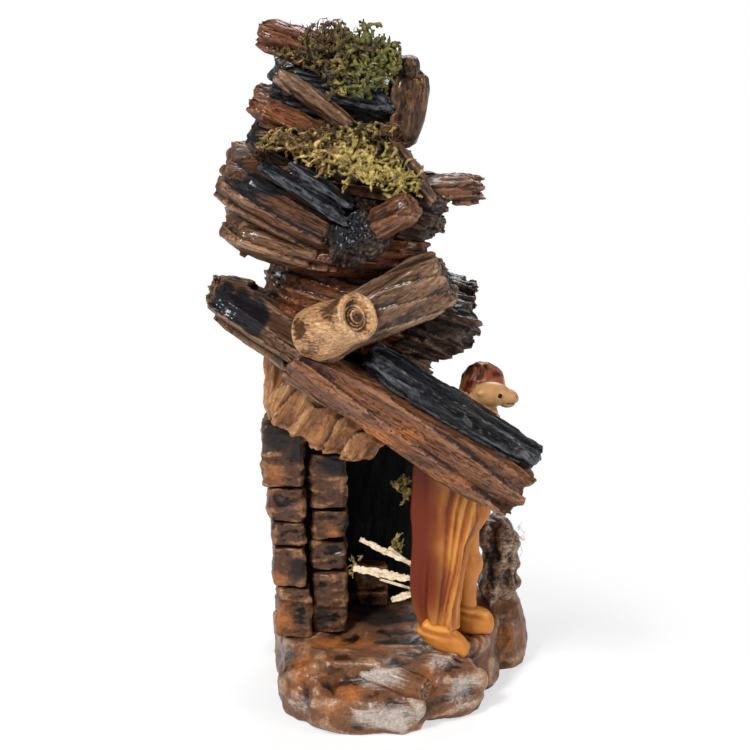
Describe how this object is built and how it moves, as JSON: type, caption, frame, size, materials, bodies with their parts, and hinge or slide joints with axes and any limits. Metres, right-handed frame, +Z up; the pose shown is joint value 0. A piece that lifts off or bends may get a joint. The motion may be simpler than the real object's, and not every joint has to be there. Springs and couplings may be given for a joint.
{
  "type": "wooden nativity stable",
  "caption": "Tall nativity stable: cut-stone walls on a rocky base under a leaning roof pile of split bark, with moss, straw and a robed shepherd carrying a lamb.",
  "frame": {"origin": "on the flat underside, below the middle of the walls and the shepherd", "axes": "+Z up, +X towards the open front that the shepherd faces, +Y towards the side the picture doesn't show"},
  "size_m": [0.1411, 0.1403, 0.3003],
  "materials": {
    "base_rock": "cast, stained and glazed in the hollows",
    "wall_stone": "hewn, sooty",
    "pale_wood": "weathered, white glaze",
    "grey_wood": "gnarled, satin",
    "dark_board": "charred",
    "bark": "rough split bark",
    "charred_bark": "charred, slightly shiny",
    "tan_wood": "bare wood, satin",
    "moss": "dried, curly",
    "straw": "dry",
    "robe_cloth": "stiffened and painted, satin",
    "boots": "painted, satin",
    "skin": "painted, satin",
    "hair": "painted, glossy",
    "lamb": "painted, satin"
  },
  "bodies": {
    "root": {"base_rock": "base_rock", "near_left_rock": "base_rock", "near_rock": "base_rock", "near_right_rock": "base_rock", "front_rock": "base_rock", "far_right_rock": "base_rock", "far_rocks": "base_rock", "rolled_root": "pale_wood", "near_stone_1": "wall_stone", "near_stone_2": "wall_stone", "near_stone_3": "wall_stone", "near_stone_4": "wall_stone", "near_stone_5": "wall_stone", "jamb_stones": "wall_stone", "wall_course_1": "wall_stone", "wall_course_2": "wall_stone", "wall_course_3": "wall_stone", "wall_course_4": "wall_stone", "wall_course_5": "wall_stone", "roof_deck": "dark_board", "barge_slab": "bark", "char_plank": "charred_bark", "left_slab": "bark", "far_slab": "bark", "batten": "tan_wood", "wall_lining": "dark_board", "corner_post": "bark", "fascia_panel": "tan_wood", "gable_boards": "bark", "pile_core": "charred_bark", "knotted_branch": "tan_wood", "sawn_knot": "tan_wood", "low_fan": "charred_bark", "red_bark": "bark", "lens_bark": "bark", "lobed_bark": "bark", "charred_slats": "charred_bark", "burr": "charred_bark", "cut_stub": "tan_wood", "upper_fan": "charred_bark", "bed_bark": "bark", "dark_chunk": "charred_bark", "right_stick": "bark", "slanting_strip": "bark", "middle_bark": "charred_bark", "char_block": "charred_bark", "upper_slab": "bark", "diagonal_stick": "tan_wood", "leaning_post": "bark", "ridge_log": "bark", "ridge_moss": "moss", "moss_bed": "moss", "straws": "straw", "shepherd_robe": "robe_cloth", "shepherd_legs": "boots", "shepherd_head": "skin", "shepherd_hands": "skin", "shepherd_hair": "hair", "lamb": "lamb", "stump": "grey_wood"}
  },
  "joints": []
}
